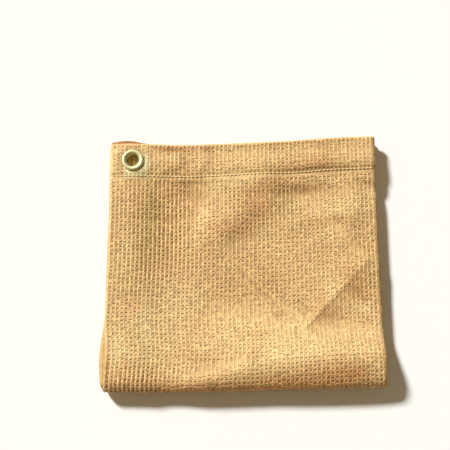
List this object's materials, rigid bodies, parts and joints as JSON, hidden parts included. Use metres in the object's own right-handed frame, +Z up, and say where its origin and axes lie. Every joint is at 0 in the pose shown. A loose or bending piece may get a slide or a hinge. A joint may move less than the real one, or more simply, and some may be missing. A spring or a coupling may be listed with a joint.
{
  "type": "shade cloth",
  "caption": "Knitted shade cloth with sewn hems, folded in quarters and lying flat, with a brass eyelet in its far left corner.",
  "frame": {"origin": "on the surface that the pack lies on, under the middle of its outline", "axes": "+X to the right along the hemmed far edge, +Y from the near fold to the hemmed far edge, +Z up"},
  "size_m": [0.2556, 0.2392, 0.0223],
  "materials": {
    "knit": "matt tan polyethylene tape and thread, knitted in ribs with small open holes",
    "brass": "pale plated brass, pressed and rolled, slightly dulled"
  },
  "bodies": {
    "root": {"folded_cloth": "knit", "eyelet_corner": "knit", "eyelet": "brass", "eyelet_washer": "brass"}
  },
  "joints": []
}
